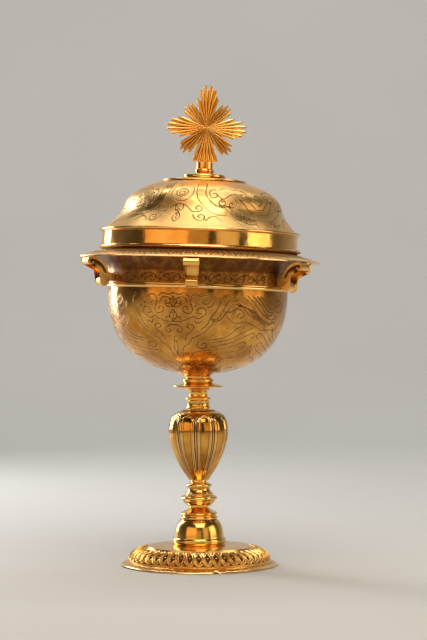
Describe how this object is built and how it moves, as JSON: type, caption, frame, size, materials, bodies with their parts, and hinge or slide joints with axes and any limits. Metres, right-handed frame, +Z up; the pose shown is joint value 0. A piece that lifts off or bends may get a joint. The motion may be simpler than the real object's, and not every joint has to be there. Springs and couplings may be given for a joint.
{
  "type": "covered ciborium",
  "caption": "Covered gilt ciborium: spreading foot with a guilloche border, lobed baluster stem, deep bowl with scroll brackets, domed lift-off lid with a sunburst cross.",
  "frame": {"origin": "centre of the foot on the surface that it stands on", "axes": "+Z up along the stem, the front bracket faces -Y, +X to the viewer's right; the bowl and lid lean 1.8 degrees towards +X"},
  "size_m": [0.1513, 0.1554, 0.2996],
  "materials": {
    "cast_gilt": "cast and chased gilding over silver, worn bright on the high points and brown in the hollows",
    "polished_gilt": "turned and polished gilding over silver with fine scratches",
    "engraved_gilt": "raised and burnished gilding over silver, engraved with scrolls darkened by tarnish",
    "worn_gilt": "lobed gilding rubbed on the swells, dark in the grooves"
  },
  "bodies": {
    "root": {"foot": "cast_gilt", "foot_drum": "polished_gilt", "drum_collar": "polished_gilt", "lower_knop": "polished_gilt", "baluster_knop": "worn_gilt", "neck_collar": "polished_gilt", "stem_disc": "polished_gilt", "bowl_saucer": "polished_gilt", "bowl": "engraved_gilt", "rib_wire": "polished_gilt", "bracket_1": "cast_gilt", "bracket_2": "cast_gilt", "bracket_3": "cast_gilt", "bracket_4": "cast_gilt", "bracket_5": "cast_gilt", "bracket_6": "cast_gilt", "lid": "engraved_gilt", "lid_top_plate": "polished_gilt", "finial": "polished_gilt", "cross": "cast_gilt"}
  },
  "joints": []
}
